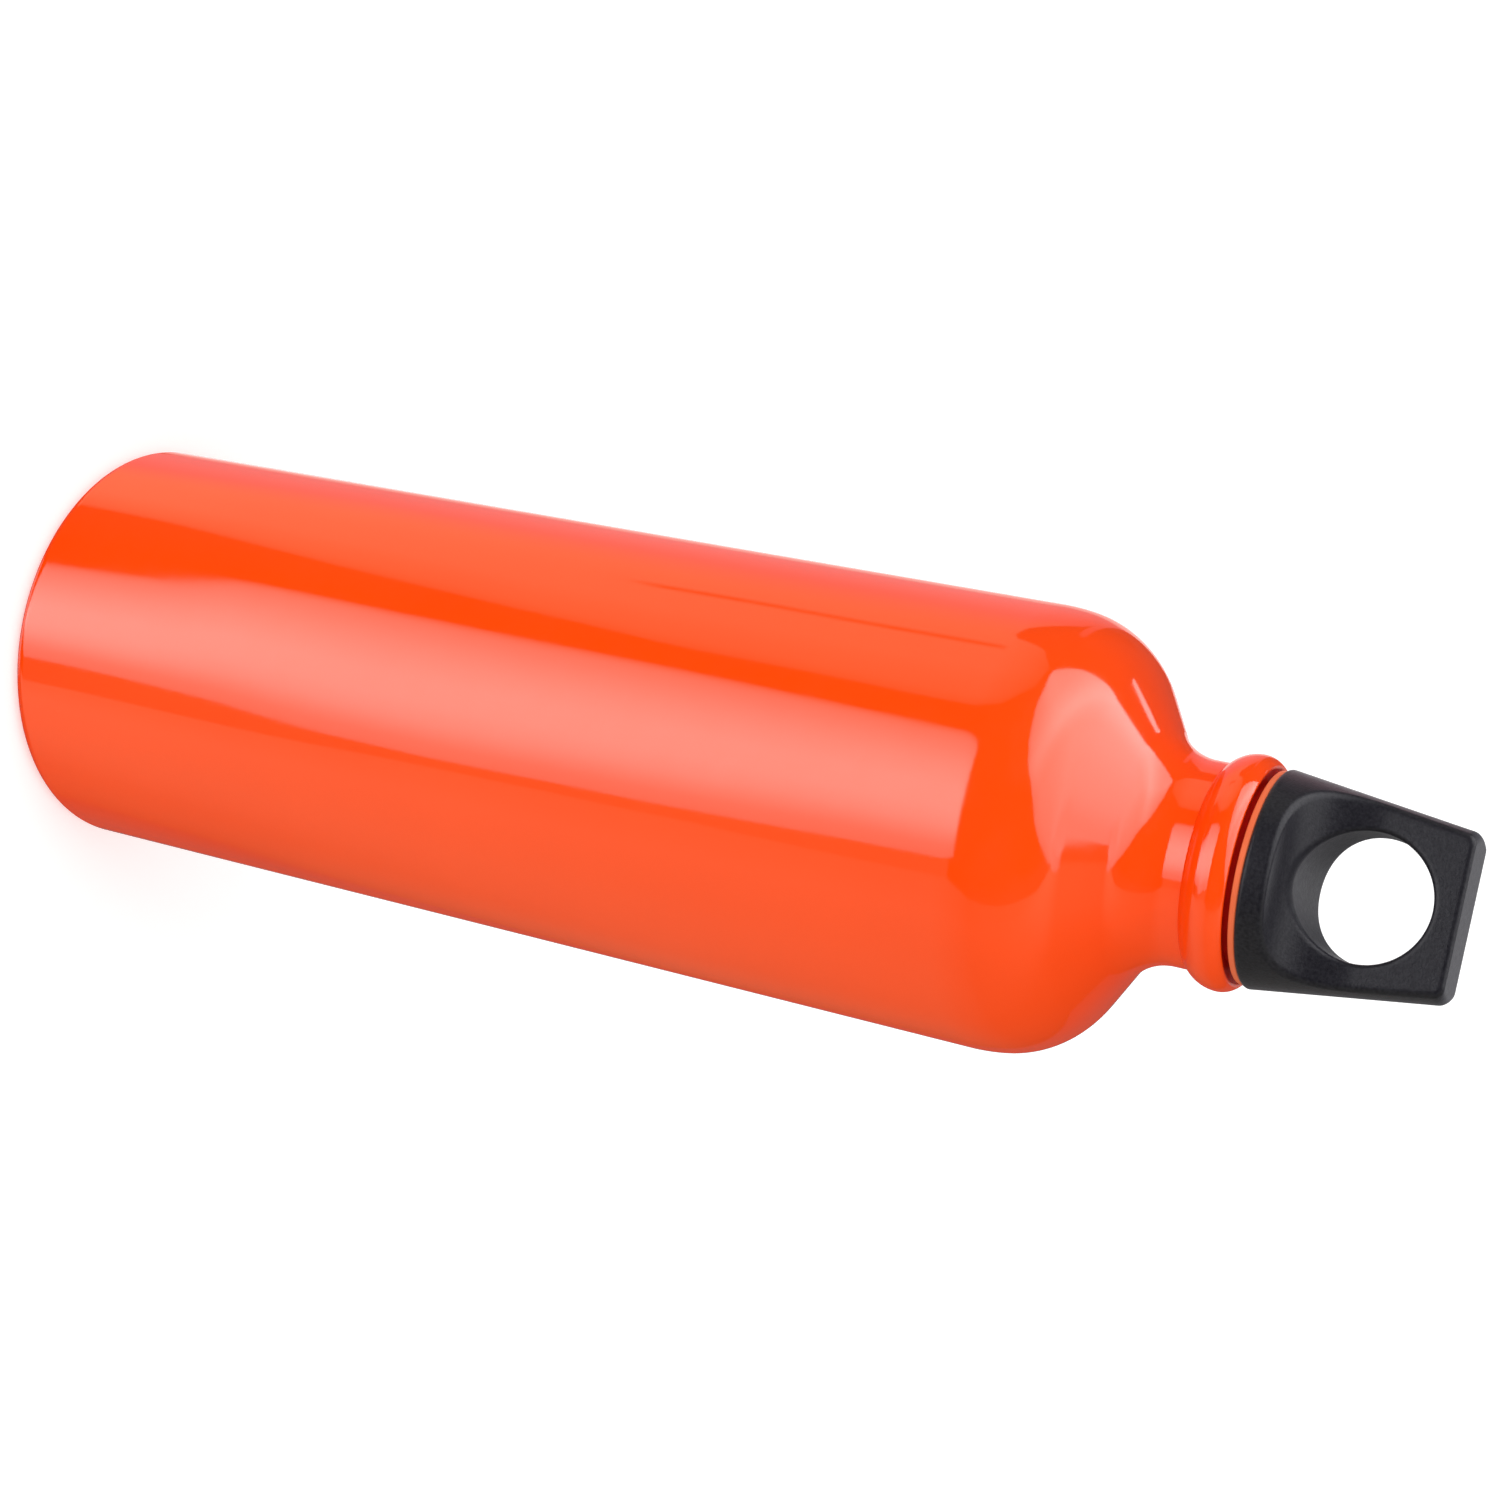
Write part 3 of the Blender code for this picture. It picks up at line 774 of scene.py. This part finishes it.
def add_softboxes():
    """A tall box in front, one overhead, a small lamp at the side, and a box and backdrop behind."""
    even = [(0, 1), (1, 1)]
    front = [(-74, -12, 12, 4.6), (-60, -26, 20, 5.2), (-46, -33, 24, 5.4), (-42, -38, 24, 5.4)]
    front += [(-40, -46, 25, 5.4), (-37, -45.5, 30, 5.4), (-34, -45, 31, 5.4), (-28, -44, 28, 5.4)]
    front += [(-22, -42.5, 24, 5.4), (-15, -40, 23, 5.4), (-11, -37, 22, 5.4), (-9.5, -32, 21, 5.4)]
    across_front = [(0, 0.15), (0.05, 0.44), (0.19, 0.66), (0.31, 0.84), (0.46, 1)]
    across_front += [(0.62, 0.98), (0.74, 0.82), (0.9, 0.44), (1, 0.35)]
    add_card("front_softbox", 2.4, front, across_front)

    overhead = [(12, -87, -83, 3.6), (18, -94, -62, 4.0), (26, -104, -46, 4.3), (34, -116, -35, 5.3)]
    overhead += [(38, -126, -31, 6.0), (42, -142, -28, 6.2), (46, -160, -23, 5.4), (52, -168, -15, 4.6)]
    overhead += [(58, -172, -4, 4.6), (66, -176, 10, 4.3), (74, -180, 30, 4.0), (77, -182, 50, 3.8)]
    overhead += [(79, -182, 120, 3.6), (84, -182, 138, 3.0)]
    across_overhead = [(0, 0.8), (0.2, 0.9), (0.4, 0.99), (0.55, 1), (0.75, 0.78), (0.92, 0.64), (1, 0.45)]
    add_card("overhead_softbox", 2.4, overhead, across_overhead)
    add_card("overhead_middle", 2.38, [(83.5, -180, 180, 2.8), (90, -180, 180, 2.8)], even)

    add_card("small_lamp", 2.3, [(27, -148, -145, 3.0), (31, -148, -145, 3.0)], even)
    back = [(-60, 182, 206, 1.5), (-6, 182, 206, 1.5)]
    add_card("back_softbox", 2.4, back, [(0, 0.5), (0.5, 1), (1, 0.5)])
    backdrop = [(0, 167, 193, 0.3), (8, 167, 193, 0.5), (30, 167, 193, 0.5), (40, 167, 193, 0.3)]
    add_card("backdrop", 3.2, backdrop, [(0, 0.5), (0.3, 1), (0.7, 1), (1, 0.5)])


def add_walls():
    """Warm grey walls to the left and right, with what stands before them, and dark all round."""
    even = [(0, 1), (1, 1)]
    left = [(-56, -118, -92, 1.1), (-50, -136, -80, 1.1), (-42, -150, -76, 1.1), (-36, -165, -66, 1.1)]
    left += [(-28, -165, -57, 1.15), (-20, -165, -56, 1.15), (-8, -165, -58, 0.9), (8, -110, -72, 0.5)]
    across_left = [(0, 0.75), (0.36, 0.8), (0.54, 0.78), (0.8, 1), (0.95, 0.8), (1, 0.5)]
    add_card("left_wall", 2.8, left, across_left, WALL_TINT, FAR_TINT, FAR_PART)
    rail = [(-29, -97.5, -92.5, 1.03), (-19, -97.5, -92.5, 1.03)]
    add_card("left_rail", 2.7, rail, [(0, 1), (0.5, 0.1), (1, 1)], WALL_TINT)
    notch = [(-18.6, -108, -106.5, 0.06), (-17, -113, -103, 0.06), (-10, -121, -99.5, 0.06)]
    notch += [(-3, -128, -96, 0.06), (1, -150, -92, 0.06), (9, -150, -86, 0.06)]
    add_card("left_notch", 2.6, notch, even)

    right = [(-60, 38, 60, 1.1), (-50, 38, 90, 1.1), (-38, 38, 130, 1.1), (-26, 33, 160, 1.0)]
    right += [(-12, 32, 150, 0.8), (2, 40, 150, 0.5), (30, 45, 150, 0.55), (50, 50, 150, 0.7)]
    right += [(65, 60, 160, 1.0), (80, 70, 170, 1.2)]
    across_right = [(0, 0.85), (0.15, 1), (0.45, 0.74), (0.7, 0.37), (1, 0.15)]
    add_card("right_wall", 2.8, right, across_right, WALL_TINT)
    gap = [(-46, 20, 42, 0.3), (-38, 20, 42, 0.4), (-28, 20, 42, 0.5), (-12, 20, 42, 0.5)]
    add_card("gap_between", 3.0, gap, even, WALL_TINT)

    beyond = [(elevation, -180, 180, 1.0) for elevation in range(-76, 91, 6)]
    across_dark = [(0, 0.1), (0.3, 0.05), (0.36, 0.0), (0.59, 0.0), (0.62, 0.1), (1, 0.15)]
    add_card("dark_surround", 3.4, beyond, across_dark)


def add_camera():
    camera_data = bpy.data.cameras.new("camera")
    camera_data.lens = CAMERA_LENS
    camera_data.sensor_width = CAMERA_SENSOR
    camera_data.clip_start = 0.01
    camera_data.clip_end = 50
    camera = add_object("camera", camera_data)
    camera.location = CAMERA_POSITION
    back = direction(CAMERA_AZIMUTH, CAMERA_ELEVATION)
    level = (-back).to_track_quat("-Z", "Y")
    camera.rotation_mode = "QUATERNION"
    camera.rotation_quaternion = level @ Quaternion((0, 0, 1), math.radians(CAMERA_ROLL))
    bpy.context.scene.camera = camera


build_shell(lacquer_finish(), aluminium_finish(), groove_painted_shade_finish())
build_seal(silicone_finish())
build_cap(moulding_finish())
add_world()
add_floor()
add_lamp("key_lamp", azimuth=-50, elevation=30, strength=1.0)
add_lamp("side_lamp", azimuth=30, elevation=25, strength=0.58)
add_softboxes()
add_walls()
add_camera()
bpy.context.scene.view_settings.view_transform = "Standard"
